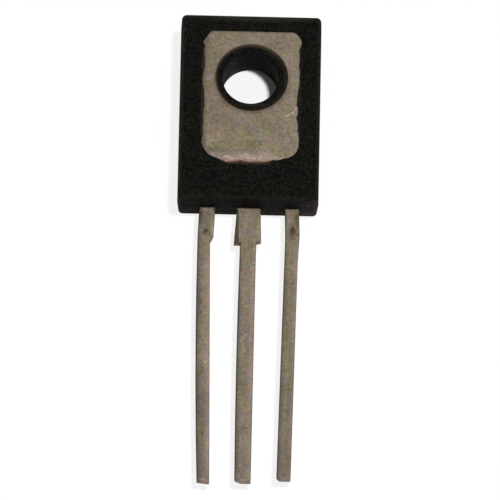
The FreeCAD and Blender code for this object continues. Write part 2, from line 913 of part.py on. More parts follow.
inserts = [
    make_collector_tab(),
    make_base_lead(),
    make_emitter_lead(),
    make_silicon_chip(),
    make_chip_solder(),
    make_bond_wire("base_wire", -1, size.base_wire_diameter, size.base_bond_across, size.base_bond_along),
    make_bond_wire(
        "emitter_wire", 1, size.emitter_wire_diameter, size.emitter_bond_across, size.emitter_bond_along
    ),
]
document.recompute()
pieces = inserts + [make_moulded_body(make_moulding_blank(), inserts)]

for item in document.Objects:
    faults = {"Invalid", "Error"} & set(item.State)
    assert not faults, f"{item.Name} is {faults}"

os.makedirs("parts", exist_ok=True)
for piece in pieces:
    check(piece)
    piece.Shape.exportStep(f"parts/{piece.Label}.step")
    print(piece.Label, round(piece.Shape.Volume, 4), "mm3", piece.Shape.BoundBox)
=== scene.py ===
"""A flat moulded power transistor: its finishes, its marks of use, painted highlights and shade, and a
plain studio round it.
"""

import math

import bpy
from bpy.props import FloatProperty, FloatVectorProperty, PointerProperty
from mathutils import Matrix, Vector


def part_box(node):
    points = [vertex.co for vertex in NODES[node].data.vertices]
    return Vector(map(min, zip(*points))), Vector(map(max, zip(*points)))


bl_info = {
    "name": "Power transistor",
    "version": (1, 0, 0),
    "blender": (4, 5, 0),
    "location": "3D View > Sidebar > Transistor",
    "description": "Dresses the parts of a power transistor and lights them",
    "category": "Object",
}

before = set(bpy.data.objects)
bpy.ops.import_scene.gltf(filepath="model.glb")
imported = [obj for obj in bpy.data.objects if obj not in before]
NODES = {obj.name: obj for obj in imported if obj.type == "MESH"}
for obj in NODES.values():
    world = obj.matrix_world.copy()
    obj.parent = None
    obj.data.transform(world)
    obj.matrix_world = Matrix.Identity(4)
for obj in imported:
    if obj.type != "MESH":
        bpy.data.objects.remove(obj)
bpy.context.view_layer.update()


# ---------------------------------------------------------------- places and marks, in millimetres


PER_METRE = 1000.0  # millimetres in a metre

BODY_LOW, BODY_HIGH = (corner * PER_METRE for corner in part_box("moulded_body"))
METAL_FACE = BODY_HIGH.z
BODY_END = BODY_LOW.y
LEAD_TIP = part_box("collector_tab")[0].y * PER_METRE
HOLE_AXIS = (0.0, 0.0, 0.0)
TAB_HOLE_RADIUS = 1.97

# The window through which the metal shows: its middle, its half size inside its corners' centres, and
# its corners' radius.
WINDOW_MIDDLE = (0.06, -1.12, 0.0)
WINDOW_CORE = (2.0, 3.22, 0.0)
WINDOW_CORNER = 0.6
# Under the moulding, just below the window: the window's own effects stop here, short of the lead.
UNDER_MOULDING = (-5.3, -5.1)

# Marks of use, painted highlights and painted shade: centre across and along, reach across and along,
# turn in degrees, and strength. Each kind has its colour in the settings and its edge in MARK_EDGES.
MOULDING_MARKS = {
    # painted highlights on the liner's lower edge and along the top rim
    "rim_highlights": (
        (0.1, -1.6, 1.3, 0.14, 0, 0.7),
        (0.3, 3.6, 5.0, 0.45, 0, 1.0),
    ),
    # painted light: floor light reflected at the end's lower right, lighter patches over the leads'
    # roots, and the lit upper left of the bore
    "wall_lights": (
        (3.3, -7.1, 1.2, 0.35, 0, 0.9),
        (3.4, -7.1, 0.9, 0.6, 0, 1.0),
        (0.0, -7.1, 0.9, 0.35, 0, 0.25),
        (2.2, -7.1, 0.6, 0.35, 0, 0.2),
        (-2.2, -7.1, 0.6, 0.35, 0, 0.2),
        (-0.95, 1.15, 0.7, 0.55, 30, 0.65),
    ),
}
TAB_MARKS = {
    # painted highlights on the lead's right edge, its ears, root and tip, and at the window's right
    # edge
    "edge_highlights": (
        (0.72, -8.3, 0.4, 1.5, 0, 0.9),
        (-0.75, -8.3, 0.25, 0.9, 0, 0.5),
        (0.45, -12.0, 0.38, 5.0, 0, 0.75),
        (0.42, -17.0, 0.38, 5.0, 0, 0.75),
        (0.4, -21.0, 0.3, 3.5, 0, 0.5),
        (0.05, -22.79, 0.5, 0.13, 0, 0.8),
        (2.4, -1.3, 0.35, 2.6, 0, 0.15),
        (0.1, -7.7, 0.75, 0.55, 0, 0.3),
    ),
    "tints": (
        (-0.4, -3.4, 0.95, 0.6, 0, 0.9),
        (-0.1, -3.9, 0.95, 0.45, 0, 0.8),
        (-0.95, -4.0, 0.7, 0.4, 0, 0.6),
        (0.9, -3.9, 0.7, 0.4, 0, 0.4),
        (0.3, -9.05, 0.5, 0.55, 0, 0.9),
        (0.48, -7.9, 0.28, 0.7, 0, 0.75),
        (-0.6, -7.6, 0.25, 0.3, 0, 0.3),
        (0.05, -10.3, 0.3, 0.7, 0, 0.5),
        (0.05, -13.5, 0.25, 0.6, 0, 0.45),
    ),
    "stains": (
        (0.15, -3.85, 0.9, 0.42, 0, 0.6),
        (-0.5, -3.9, 0.6, 0.35, 0, 0.4),
        (0.05, -3.3, 0.4, 0.25, 0, 0.35),
        (-1.75, -4.2, 0.85, 0.42, 5, 0.65),
        (-1.65, -3.82, 0.7, 0.1, 0, 0.5),
        (-2.25, -2.72, 0.4, 0.12, 0, 0.6),
        (-1.22, -1.65, 0.28, 0.24, 0, 0.5),
        (1.98, -0.9, 0.22, 0.18, 0, 0.5),
        (-2.15, -0.6, 0.4, 0.5, 0, 0.5),
        (-2.15, 0.4, 0.4, 0.5, 0, 0.4),
        (-2.2, 1.2, 0.5, 1.2, 0, 0.2),
        (-1.9, -2.5, 0.6, 0.4, 0, 0.3),
        (1.2, -3.0, 0.5, 0.3, 20, 0.25),
        (1.48, -2.55, 0.24, 0.4, 0, 0.5),
        (0.0, 2.35, 2.7, 0.6, 0, 0.12),
        (-0.42, -9.06, 0.3, 0.3, -30, 0.85),
        (0.15, -9.35, 0.4, 0.35, 0, 0.45),
        (0.35, -8.1, 0.25, 0.4, 0, 0.3),
        (0.15, -15.35, 0.15, 0.3, 0, 0.4),
    ),
    "spots_and_shade": (
        (-0.02, -3.24, 0.12, 0.1, 0, 0.6),
        (0.46, -3.15, 0.1, 0.09, 0, 0.5),
        (1.67, -4.55, 0.08, 0.07, 0, 0.8),
        (-1.1, 2.2, 0.07, 0.06, 0, 0.3),
        (-1.9, 1.1, 0.08, 0.06, 0, 0.4),
        # painted shade in the window's left corners
        (-2.42, 2.2, 0.3, 0.45, -35, 0.4),
        (-2.45, -3.75, 0.22, 0.5, 0, 0.4),
        (-2.15, -4.3, 0.32, 0.22, -40, 0.45),
        (-1.65, -4.68, 0.5, 0.14, -18, 0.35),
        # painted shade at the lead's root, and a spot on its shoulder
        (0.07, -7.1, 0.9, 0.1, 0, 0.6),
        (-0.62, -9.22, 0.3, 0.1, 0, 0.5),
    ),
    # painted shade along the lead's left edge
    "edge_shade": (
        (-0.42, -10.3, 0.26, 1.2, 0, 0.75),
        (-0.42, -13.5, 0.29, 4.6, 0, 0.75),
        (-0.45, -17.5, 0.31, 6.0, 0, 0.75),
        (-0.43, -21.5, 0.33, 4.0, 0, 0.8),
    ),
    "glints": (
        (1.88, -3.09, 0.09, 0.07, 0, 0.6),
        (2.08, -3.55, 0.1, 0.06, 30, 0.7),
        (-1.2, -4.62, 0.22, 0.1, 0, 0.45),
        (-0.9, -4.75, 0.3, 0.08, -8, 0.5),
        (-0.15, -4.5, 0.16, 0.08, 0, 0.35),
        (0.62, -4.6, 0.14, 0.09, 0, 0.5),
        (0.76, -9.3, 0.3, 0.14, 0, 0.45),
    ),
}
LEAD_MARKS = {
    # painted highlights along the leads' right edges, on their shoulders and at their tips
    "edge_highlights": (
        (-1.72, -8.3, 0.42, 1.3, 0, 1.0),
        (-1.92, -11.5, 0.52, 4.0, 0, 1.0),
        (-1.87, -16.0, 0.5, 4.5, -1, 1.0),
        (-1.77, -20.5, 0.46, 4.0, -1, 0.95),
        (2.2, -7.6, 0.2, 0.6, 0, 0.5),
        (2.74, -10.5, 0.34, 2.5, 0, 0.8),
        (2.68, -14.0, 0.32, 4.0, 1, 0.6),
        (2.6, -19.0, 0.28, 4.0, 1, 0.5),
        (-2.1, -22.82, 0.5, 0.2, 0, 0.9),
        (2.2, -22.61, 0.5, 0.13, 0, 0.8),
    ),
    "tints": (
        (-2.35, -9.3, 0.35, 0.6, 0, 0.8),
        (-2.45, -12.2, 0.2, 0.6, 0, 0.8),
        (-2.3, -14.5, 0.3, 4.0, 0, 0.4),
        (2.3, -10.0, 0.3, 1.5, 0, 0.5),
        (2.2, -14.5, 0.35, 4.5, 0, 0.55),
        (2.15, -19.5, 0.35, 3.0, 0, 0.45),
        (-2.15, -20.5, 0.3, 2.5, 0, 0.3),
    ),
    "stains": (
        (-2.2, -8.6, 0.42, 0.5, -30, 0.7),
        (-2.3, -9.2, 0.3, 0.5, 0, 0.5),
        (-2.1, -7.7, 0.2, 0.3, 0, 0.35),
        (-2.35, -7.6, 0.3, 0.45, 0, 0.4),
        (-2.24, -16.6, 0.17, 0.5, 0, 0.75),
        (-2.19, -20.0, 0.18, 0.65, -2, 0.9),
        (2.46, -8.45, 0.42, 0.7, 18, 0.85),
        (2.55, -8.05, 0.3, 0.2, 0, 0.7),
        (2.6, -7.5, 0.25, 0.6, 0, 0.5),
        (2.17, -12.7, 0.25, 0.4, 0, 0.5),
        (2.2, -14.3, 0.25, 0.7, 0, 0.6),
        (2.33, -17.5, 0.18, 0.45, 0, 0.45),
        (2.25, -18.8, 0.2, 0.5, 0, 0.55),
        (2.2, -22.0, 0.2, 0.3, 0, 0.4),
    ),
    "spots_and_shade": (
        (-2.24, -8.48, 0.28, 0.16, -40, 1.0),
        (-2.28, -8.68, 0.12, 0.1, 0, 0.4),
        (-2.37, -12.6, 0.08, 0.16, 0, 0.7),
        (-2.38, -13.15, 0.07, 0.12, 0, 0.5),
        (-2.19, -20.2, 0.1, 0.4, 0, 0.35),
        (2.45, -8.34, 0.24, 0.42, 10, 1.0),
        (2.4, -8.75, 0.2, 0.2, 0, 0.3),
        (2.66, -7.75, 0.18, 0.6, -8, 0.7),
        # painted shade at the leads' roots
        (-2.58, -7.55, 0.26, 0.75, 0, 0.8),
        (-1.8, -7.2, 0.14, 0.35, 0, 0.6),
        (-2.24, -7.1, 0.5, 0.1, 0, 0.5),
        (2.33, -7.1, 0.5, 0.1, 0, 0.5),
    ),
    # painted shade along the leads' left edges
    "edge_shade": (
        (-2.75, -7.7, 0.6, 0.9, 0, 1.0),
        (-2.68, -9.5, 0.32, 2.0, 0, 0.95),
        (-2.66, -13.0, 0.38, 5.5, 0, 1.0),
        (-2.59, -18.0, 0.42, 4.5, -1.2, 1.0),
        (-2.47, -21.5, 0.42, 3.0, -2, 0.95),
        (1.95, -7.8, 0.3, 0.7, 0, 0.6),
        (2.03, -12.5, 0.28, 5.0, 0.8, 0.7),
        (1.93, -18.0, 0.28, 5.0, 0.8, 0.7),
        (1.84, -21.5, 0.3, 3.0, 0.8, 0.7),
    ),
    "glints": (
        (-2.12, -16.05, 0.07, 0.07, 0, 0.8),
        (-1.74, -8.45, 0.26, 0.75, 0, 0.45),
    ),
}
# The softness and the raggedness of each kind of mark's edge.
MARK_EDGES = {
    "rim_highlights": (0.9, 0.9),
    "wall_lights": (0.9, 0.9),
    "edge_highlights": (1.0, 0.6),
    "tints": (0.95, 0.9),
    "stains": (0.95, 0.9),
    "spots_and_shade": (0.8, 0.6),
    "edge_shade": (0.8, 0.5),
    "glints": (0.9, 0.7),
}
RIGHT_THROUGH = 1e6  # a mark's reach up and down, so that it's the same at every height

# Scratches on the tab's face: start, finish and width.
TAB_SCRATCHES = (
    ((1.95, -2.24, METAL_FACE), (2.32, -2.0, METAL_FACE), 0.045),
    ((2.3, -2.02, METAL_FACE), (2.52, -1.72, METAL_FACE), 0.04),
)


# ---------------------------------------------------------------- patterns


# Noise runs from 0 to 1 and seldom leaves its middle, so its tones are spread between these bounds.
MIDDLE = (0.3, 0.7)
WIDER = (0.25, 0.75)
WIDEST = (0.2, 0.8)

# Where the plating's patches and drifts are cut from the noise, so that they don't lie over its clouds.
PATCHES_FROM = (17.0, 5.0, 3.0)
DRIFTS_FROM = (3.0, 11.0, 7.0)

# How far a face is turned towards an axis: nearly square on to it, and at a slant.
SQUARE_ON = 0.9
SLANTING = 0.5

DARKEST = 0.05  # the least that a grain or a mottle leaves of a colour

# The hidden pieces' finishes: colour, metallic, roughness and the fineness of the grain.
INNER_FINISHES = {
    "polished_silicon": ((0.09, 0.095, 0.12), 0.5, 0.25, 3.0),
    "dull_solder": ((0.42, 0.42, 0.40), 0.9, 0.5, 8.0),
    "aluminium_wire": ((0.72, 0.72, 0.72), 1.0, 0.35, 12.0),
}
INNER_CONTRAST = 0.1
INNER_GRAIN = 0.000001  # metres


# ---------------------------------------------------------------- studio, in metres


FLOOR_SIZE = 1.6
FLOOR_DROP = 0.00002  # keeps the floor clear of the face that lies on it
PAPER = (0.92, 0.92, 0.92, 1.0)
WHITE = (1.0, 1.0, 1.0, 1.0)
# The floor shows whiter than its paper all round the part, but not under the screw hole, which stays
# shaded: the glow's strength, and the millimetres from the hole's axis between which it comes up.
GLOW = 0.85
GLOW_FROM = 1.6
GLOW_TO = 3.0

KEY_PLACE = (0.117, -0.004, 0.56)
KEY_AIM = (0.0, -0.009, 0.0)
KEY_SIZE = 0.05
SENSOR = 36.0  # millimetres
NEAREST_SEEN = 0.05
FARTHEST_SEEN = 20.0


# ---------------------------------------------------------------- settings


class TRANSISTOR_PG_moulding(bpy.types.PropertyGroup):
    """The black epoxy."""

    colour: FloatVectorProperty(
        name="Colour",
        description="Colour of the epoxy",
        subtype="COLOR",
        default=(0.0051, 0.0051, 0.0040),
    )
    # painted highlight along the rims and on the liner's lower edge
    rim_highlight_colour: FloatVectorProperty(
        name="Rim highlight colour",
        description="Painted highlight along the edges",
        subtype="COLOR",
        default=(0.022, 0.021, 0.015),
    )
    filler_colour: FloatVectorProperty(
        name="Filler colour",
        description="Colour of the filler's specks",
        subtype="COLOR",
        default=(0.016, 0.014, 0.015),
    )
    # painted reflected light: the end is lighter than the other faces of the same epoxy
    end_light_colour: FloatVectorProperty(
        name="End light colour",
        description="Painted reflected light on the end that the leads come out of",
        subtype="COLOR",
        default=(0.0135, 0.0127, 0.0113),
    )
    # painted light on the upright walls and in the bore
    wall_light_colour: FloatVectorProperty(
        name="Wall light colour",
        description="Painted light on the upright walls and in the bore",
        subtype="COLOR",
        default=(0.061, 0.046, 0.055),
    )
    # thin flash beside the window, and a painted highlight on the liner
    flash_and_highlight_colour: FloatVectorProperty(
        name="Flash and highlight colour",
        description="Thin flash beside the bare metal, and the painted highlight on the liner",
        subtype="COLOR",
        default=(0.045, 0.034, 0.023),
    )
    grain: FloatProperty(
        name="Grain",
        description="Height of the matt grain",
        unit="LENGTH",
        precision=6,
        default=0.000008,
    )
    roughness: FloatProperty(
        name="Roughness",
        description="Mean roughness",
        subtype="FACTOR",
        min=0.0,
        max=1.0,
        default=0.6,
    )


class TRANSISTOR_PG_plating(bpy.types.PropertyGroup):
    """The dull tin plating on the copper."""

    colour: FloatVectorProperty(
        name="Colour",
        description="Main colour",
        subtype="COLOR",
        default=(0.143, 0.109, 0.075),
    )
    cool_colour: FloatVectorProperty(
        name="Cool colour",
        description="Colour of the cooler clouds",
        subtype="COLOR",
        default=(0.124, 0.099, 0.065),
    )
    tint_colour: FloatVectorProperty(
        name="Tint colour",
        description="Yellowish olive tints",
        subtype="COLOR",
        default=(0.140, 0.112, 0.048),
    )
    stain_colour: FloatVectorProperty(
        name="Stain colour",
        description="Olive brown of the stains",
        subtype="COLOR",
        default=(0.078, 0.060, 0.018),
    )
    # dark spots, and painted shade at the leads' roots and in the window's corners
    spot_and_shade_colour: FloatVectorProperty(
        name="Spot and shade colour",
        description="Dark spots, and painted shade at the leads' roots and the window's corners",
        subtype="COLOR",
        default=(0.022, 0.009, 0.003),
    )
    # painted glints and sparkle, and the scraped metal in the scratches
    glint_and_scratch_colour: FloatVectorProperty(
        name="Glint and scratch colour",
        description="Painted glints, and scraped metal in the scratches",
        subtype="COLOR",
        default=(0.330, 0.285, 0.245),
    )
    coined_colour: FloatVectorProperty(
        name="Coined colour",
        description="Copper that shows where it was coined",
        subtype="COLOR",
        default=(0.205, 0.135, 0.126),
    )
    # fresh copper on the cut ends, painted lighter so that they look as lit as the top faces
    cut_end_and_light_colour: FloatVectorProperty(
        name="Cut end and light colour",
        description="Fresh copper on the cut ends, painted lighter",
        subtype="COLOR",
        default=(0.270, 0.185, 0.150),
    )
    # painted highlight along the leads' right edges, shoulders and tips
    edge_highlight_colour: FloatVectorProperty(
        name="Edge highlight colour",
        description="Painted highlight along the leads' right edges, shoulders and tips",
        subtype="COLOR",
        default=(0.205, 0.146, 0.118),
    )
    # painted shade along the leads' left margins
    edge_shade_colour: FloatVectorProperty(
        name="Edge shade colour",
        description="Painted shade along the leads' left margins",
        subtype="COLOR",
        default=(0.050, 0.037, 0.026),
    )
    edge_colour: FloatVectorProperty(
        name="Edge colour",
        description="Bare copper along the window's lower edge",
        subtype="COLOR",
        default=(0.190, 0.095, 0.045),
    )
    # brown resin film, and painted shade along the window's edge
    film_and_shade_colour: FloatVectorProperty(
        name="Film and shade colour",
        description="Brown resin film over the metal, with painted shade along the window's edge",
        subtype="COLOR",
        default=(0.040, 0.022, 0.008),
    )
    # painted shade on the sides that face left, and a little on those that face right
    side_shade_colour: FloatVectorProperty(
        name="Side shade colour",
        description="Painted shade on the sides that face left",
        subtype="COLOR",
        default=(0.036, 0.026, 0.020),
    )
    grain: FloatProperty(
        name="Grain",
        description="Height of the plating's grain",
        unit="LENGTH",
        precision=6,
        default=0.000005,
    )
    # painted shade: how far the leads are darkened towards their tips
    tab_tip_tone: FloatProperty(
        name="Tab's tip tone",
        description="Share of its brightness that the middle lead keeps at its tip",
        subtype="FACTOR",
        min=0.0,
        max=1.0,
        default=0.9,
    )
    lead_tip_tone: FloatProperty(
        name="Leads' tip tone",
        description="Share of their brightness that the outer leads keep at their tips",
        subtype="FACTOR",
        min=0.0,
        max=1.0,
        default=0.72,
    )


class TRANSISTOR_PG_stage(bpy.types.PropertyGroup):
    """The camera and the lights."""

    azimuth: FloatProperty(
        name="Azimuth",
        description="Camera's place round the part",
        subtype="ANGLE",
        default=math.radians(-1.04),
    )
    elevation: FloatProperty(
        name="Elevation",
        description="Camera's height above the floor",
        subtype="ANGLE",
        default=math.radians(67.48),
    )
    roll: FloatProperty(
        name="Roll",
        description="Camera's tilt about its own axis",
        subtype="ANGLE",
        default=math.radians(-2.30),
    )
    distance: FloatProperty(
        name="Distance",
        description="From the camera to the aim",
        unit="LENGTH",
        default=0.52,
    )
    aim: FloatVectorProperty(
        name="Aim",
        description="Point in the middle of the view",
        subtype="TRANSLATION",
        default=(0.000171, -0.009445, 0.001015),
    )
    field: FloatProperty(
        name="Field",
        description="Width that the view takes in at the aim",
        unit="LENGTH",
        precision=6,
        default=0.026834,
    )
    key_power: FloatProperty(
        name="Key power",
        description="Power of the main lamp",
        unit="POWER",
        default=3.1,
    )
    sky: FloatProperty(
        name="Sky",
        description="Strength of the even light, where 1 is white",
        default=0.2,
    )


# ---------------------------------------------------------------- node trees


class Tree:
    """A node tree, and the calls that build it."""

    def __init__(self, tree):
        self.nodes = tree.nodes
        self.links = tree.links

    def put(self, socket, value):
        """Links a socket to another node, or sets its number or colour."""
        if isinstance(value, bpy.types.NodeSocket):
            self.links.new(value, socket)
        else:
            socket.default_value = value

    def add(self, kind, values=(), **settings):
        """A node with its settings and its inputs, which are given by name or by place."""
        node = self.nodes.new(kind)
        for name, value in settings.items():
            setattr(node, name, value)
        for name, value in dict(values).items():
            self.put(node.inputs[name], value)
        return node

    def math(self, kind, first, second=0.0):
        """One step of arithmetic."""
        return self.add("ShaderNodeMath", {0: first, 1: second}, operation=kind).outputs[0]

    def vector_math(self, kind, first, second=(0.0, 0.0, 0.0)):
        """One step of arithmetic on vectors, which gives a vector or a plain number."""
        node = self.add("ShaderNodeVectorMath", {0: first, 1: second}, operation=kind)
        return node.outputs["Value" if kind in ("LENGTH", "DOT_PRODUCT", "DISTANCE") else "Vector"]

    def times(self, first, *others):
        """Numbers or masks, multiplied together."""
        for other in others:
            first = self.math("MULTIPLY", first, other)
        return first

    def most(self, first, *others):
        """The greatest of some numbers or masks."""
        for other in others:
            first = self.math("MAXIMUM", first, other)
        return first

    def swing(self, value, reach):
        """A pattern from 0 to 1, made to swing to both sides of nought."""
        return self.times(self.math("SUBTRACT", value, 0.5), reach)

    def away(self, value, place):
        """How far a number is from a place, on either side of it."""
        return self.math("ABSOLUTE", self.math("SUBTRACT", value, place))

    def ramp(self, value, low, high, start=0.0, end=1.0):
        """A smooth change from start to end as the value goes from low to high."""
        values = {"Value": value, "From Min": low, "From Max": high, "To Min": start, "To Max": end}
        node = self.add("ShaderNodeMapRange", values, interpolation_type="SMOOTHSTEP")
        return node.outputs["Result"]

    def fall(self, value, low, high):
        """A smooth fall from 1 to 0 as the value goes from low to high."""
        return self.ramp(value, low, high, 1.0, 0.0)

    def blend(self, amount, below, above, kind="MIX"):
        """A colour over another."""
        values = {0: amount, 6: below, 7: above}
        return self.add("ShaderNodeMix", values, data_type="RGBA", blend_type=kind).outputs[2]

    def noise(self, place, scale, detail=2.0, roughness=0.5):
        """Cloudy noise from 0 to 1, finer as the scale goes up."""
        values = {"Vector": place, "Scale": scale, "Detail": detail, "Roughness": roughness}
        return self.add("ShaderNodeTexNoise", values).outputs["Fac"]

    def parts(self, vector):
        """A vector's X, Y and Z."""
        return self.add("ShaderNodeSeparateXYZ", {0: vector}).outputs

    def call(self, effect, **values):
        """A shared effect, with this material's own values."""
        node = self.nodes.new("ShaderNodeGroup")
        node.node_tree = bpy.data.node_groups[effect]
        for name, value in values.items():
            self.put(node.inputs[name], value)
        return node.outputs


def colour(values):
    """A colour as a socket takes it, with full alpha."""
    return (*values, 1.0)


# ---------------------------------------------------------------- shared effects


def new_group(name, inputs, outputs):
    """An empty effect's tree, and its named inputs and outputs."""
    group = bpy.data.node_groups.new(name, "ShaderNodeTree")
    for label, kind, default in inputs:
        socket = group.interface.new_socket(label, in_out="INPUT", socket_type=kind)
        if default is not None:
            socket.default_value = default
    for label, kind in outputs:
        group.interface.new_socket(label, in_out="OUTPUT", socket_type=kind)
    tree = Tree(group)
    return tree, tree.add("NodeGroupInput").outputs, tree.add("NodeGroupOutput").inputs


def build_smudge():
    """A soft oval blot with a ragged edge."""
    tree, given, result = new_group(
        "smudge",
        (
            ("Place", "NodeSocketVector", None),
            ("Centre", "NodeSocketVector", None),
            ("Reach", "NodeSocketVector", (1.0, 1.0, 1.0)),
            ("Turn", "NodeSocketFloat", 0.0),
            ("Softness", "NodeSocketFloat", 0.8),
            ("Raggedness", "NodeSocketFloat", 0.5),
            ("Strength", "NodeSocketFloat", 1.0),
        ),
        (("Mask", "NodeSocketFloat"),),
    )
    offset = tree.vector_math("SUBTRACT", given["Place"], given["Centre"])
    turn = {"Vector": offset, "Angle": given["Turn"]}
    turned = tree.add("ShaderNodeVectorRotate", turn, rotation_type="Z_AXIS").outputs[0]
    distance = tree.vector_math("LENGTH", tree.vector_math("DIVIDE", turned, given["Reach"]))
    wobble = tree.noise(given["Place"], scale=6.0, detail=3.0, roughness=0.6)
    wobble = tree.swing(wobble, given["Raggedness"])
    ragged = tree.math("ADD", distance, wobble)
    solid = tree.math("SUBTRACT", 1.0, given["Softness"])
    tree.put(result["Mask"], tree.times(tree.fall(ragged, solid, 1.0), given["Strength"]))


def build_scratch():
    """A thin straight scratch from one point to another, broken here and there."""
    tree, given, result = new_group(
        "scratch",
        (
            ("Place", "NodeSocketVector", None),
            ("Start", "NodeSocketVector", None),
            ("Finish", "NodeSocketVector", None),
            ("Width", "NodeSocketFloat", 0.05),
        ),
        (("Mask", "NodeSocketFloat"),),
    )
    whole = tree.vector_math("SUBTRACT", given["Finish"], given["Start"])
    part = tree.vector_math("SUBTRACT", given["Place"], given["Start"])
    reached = tree.vector_math("DOT_PRODUCT", part, whole)
    share = tree.math("DIVIDE", reached, tree.vector_math("DOT_PRODUCT", whole, whole))
    share = tree.add("ShaderNodeClamp", {"Value": share}).outputs[0]
    nearest = tree.add("ShaderNodeVectorMath", {0: whole, "Scale": share}, operation="SCALE").outputs[0]
    gap = tree.vector_math("DISTANCE", part, nearest)
    broken = tree.ramp(tree.noise(given["Place"], scale=9.0), 0.35, 0.5)
    tree.put(result["Mask"], tree.times(tree.fall(gap, 0.0, given["Width"]), broken))


def build_grain():
    """A close grain of pimples, and the tone and height that go with it."""
    tree, given, result = new_group(
        "grain",
        (
            ("Place", "NodeSocketVector", None),
            ("Fineness", "NodeSocketFloat", 10.0),
            ("Contrast", "NodeSocketFloat", 0.2),
        ),
        (("Tone", "NodeSocketFloat"), ("Height", "NodeSocketFloat")),
    )
    coarse = tree.noise(given["Place"], given["Fineness"], detail=3.0, roughness=0.65)
    finer = tree.times(given["Fineness"], 2.7)
    fine = tree.noise(given["Place"], finer, detail=2.0, roughness=0.6)
    height = tree.math("ADD", tree.times(coarse, 0.6), tree.times(fine, 0.4))
    tone = tree.math("ADD", 1.0, tree.times(tree.swing(height, given["Contrast"]), 4.0))
    tree.put(result["Tone"], tree.most(tone, DARKEST))
    tree.put(result["Height"], height)


def build_mottle():
    """Drifts in tone and hue: each of the three channels swings on its own."""
    tree, given, result = new_group(
        "mottle",
        (
            ("Place", "NodeSocketVector", None),
            ("Fineness", "NodeSocketFloat", 8.0),
            ("Swing", "NodeSocketVector", (0.5, 0.5, 0.5)),
        ),
        (("Tint", "NodeSocketColor"),),
    )
    values = {"Vector": given["Place"], "Scale": given["Fineness"], "Detail": 2.0, "Roughness": 0.6}
    noise = tree.add("ShaderNodeTexNoise", values).outputs["Color"]
    centred = tree.vector_math("SUBTRACT", noise, (0.5, 0.5, 0.5))
    drift = tree.vector_math("MULTIPLY", centred, given["Swing"])
    tint = tree.vector_math("ADD", drift, (1.0, 1.0, 1.0))
    tree.put(result["Tint"], tree.vector_math("MAXIMUM", tint, (DARKEST, DARKEST, DARKEST)))


def build_specks():
    """Small scattered dots, in only some of the cells."""
    tree, given, result = new_group(
        "specks",
        (
            ("Place", "NodeSocketVector", None),
            ("Fineness", "NodeSocketFloat", 8.0),
            ("Rarity", "NodeSocketFloat", 0.6),
            ("Radius", "NodeSocketFloat", 0.3),
        ),
        (("Mask", "NodeSocketFloat"),),
    )
    values = {"Vector": given["Place"], "Scale": given["Fineness"]}
    cells = tree.add("ShaderNodeTexVoronoi", values).outputs
    few = tree.ramp(cells["Color"], given["Rarity"], tree.math("ADD", given["Rarity"], 0.15))
    tree.put(result["Mask"], tree.times(tree.fall(cells["Distance"], 0.0, given["Radius"]), few))


# ---------------------------------------------------------------- steps that finishes are made of


def new_material(name, shown):
    """A material, its tree, its shader's inputs, and the place in millimetres for its patterns."""
    material = bpy.data.materials.new(name)
    material.use_nodes = True
    material.diffuse_color = colour(shown)
    tree = Tree(material.node_tree)
    tree.nodes.clear()
    shader = tree.add("ShaderNodeBsdfPrincipled")
    output = tree.add("ShaderNodeOutputMaterial")
    tree.put(output.inputs["Surface"], shader.outputs["BSDF"])
    metres = tree.add("ShaderNodeTexCoord").outputs["Object"]
    place = tree.vector_math("MULTIPLY", metres, (PER_METRE, PER_METRE, PER_METRE))
    return material, tree, shader.inputs, place


def toned(tree, base, tone):
    """The base colour, lighter or darker by the given tone."""
    grey = tree.add("ShaderNodeCombineColor", {0: tone, 1: tone, 2: tone}).outputs[0]
    return tree.blend(1.0, base, grey, "MULTIPLY")


def mottled(tree, base, place, fineness, swing):
    """The base colour, with small drifts in tone and hue."""
    mottle = tree.call("mottle", Place=place, Fineness=fineness, Swing=swing)
    return tree.blend(1.0, base, mottle["Tint"], "MULTIPLY")


def all_marks(tree, place, marks, kind):
    """One mask for all the marks of a kind."""
    softness, raggedness = MARK_EDGES[kind]
    mask = 0.0
    for across, along, reach_across, reach_along, turn, strength in marks[kind]:
        smudge = tree.call(
            "smudge",
            Place=place,
            Centre=(across, along, 0.0),
            Reach=(reach_across, reach_along, RIGHT_THROUGH),
            Turn=math.radians(turn),
            Softness=softness,
            Raggedness=raggedness,
            Strength=strength,
        )
        mask = tree.most(mask, smudge["Mask"])
    return mask


def marked(tree, place, base, marks, kind, shade):
    """The base colour under all the marks of a kind."""
    return tree.blend(all_marks(tree, place, marks, kind), base, colour(shade))


def add_bump(tree, shader, height, distance):
    """Gives the shader's surface a pattern's relief, as deep as the distance, in metres."""
    bump = tree.add("ShaderNodeBump", {"Height": height, "Distance": distance, "Strength": 1.0})
    tree.put(shader["Normal"], bump.outputs["Normal"])


def facing(tree, axis):
    """How far the surface is turned towards an axis, from -1 to 1."""
    return tree.parts(tree.add("ShaderNodeTexCoord").outputs["Normal"])[axis]


def facing_tips(tree):
    """A mask of the faces that look along the leads, towards their tips."""
    return tree.fall(facing(tree, "Y"), -SQUARE_ON, -SLANTING)


def beyond_window(tree, place, middle):
    """Distance outwards from the window's edge, wandering a little."""
    wander = tree.swing(tree.noise(place, scale=4.0, detail=3.0, roughness=0.6), 0.2)
    flat = tree.vector_math("MULTIPLY", place, (1.0, 1.0, 0.0))
    outward = tree.vector_math("ABSOLUTE", tree.vector_math("SUBTRACT", flat, middle))
    outward = tree.vector_math("SUBTRACT", outward, WINDOW_CORE)
    outward = tree.vector_math("MAXIMUM", outward, (0.0, 0.0, 0.0))
    distance = tree.math("SUBTRACT", tree.vector_math("LENGTH", outward), WINDOW_CORNER)
    return tree.math("ADD", distance, wander)


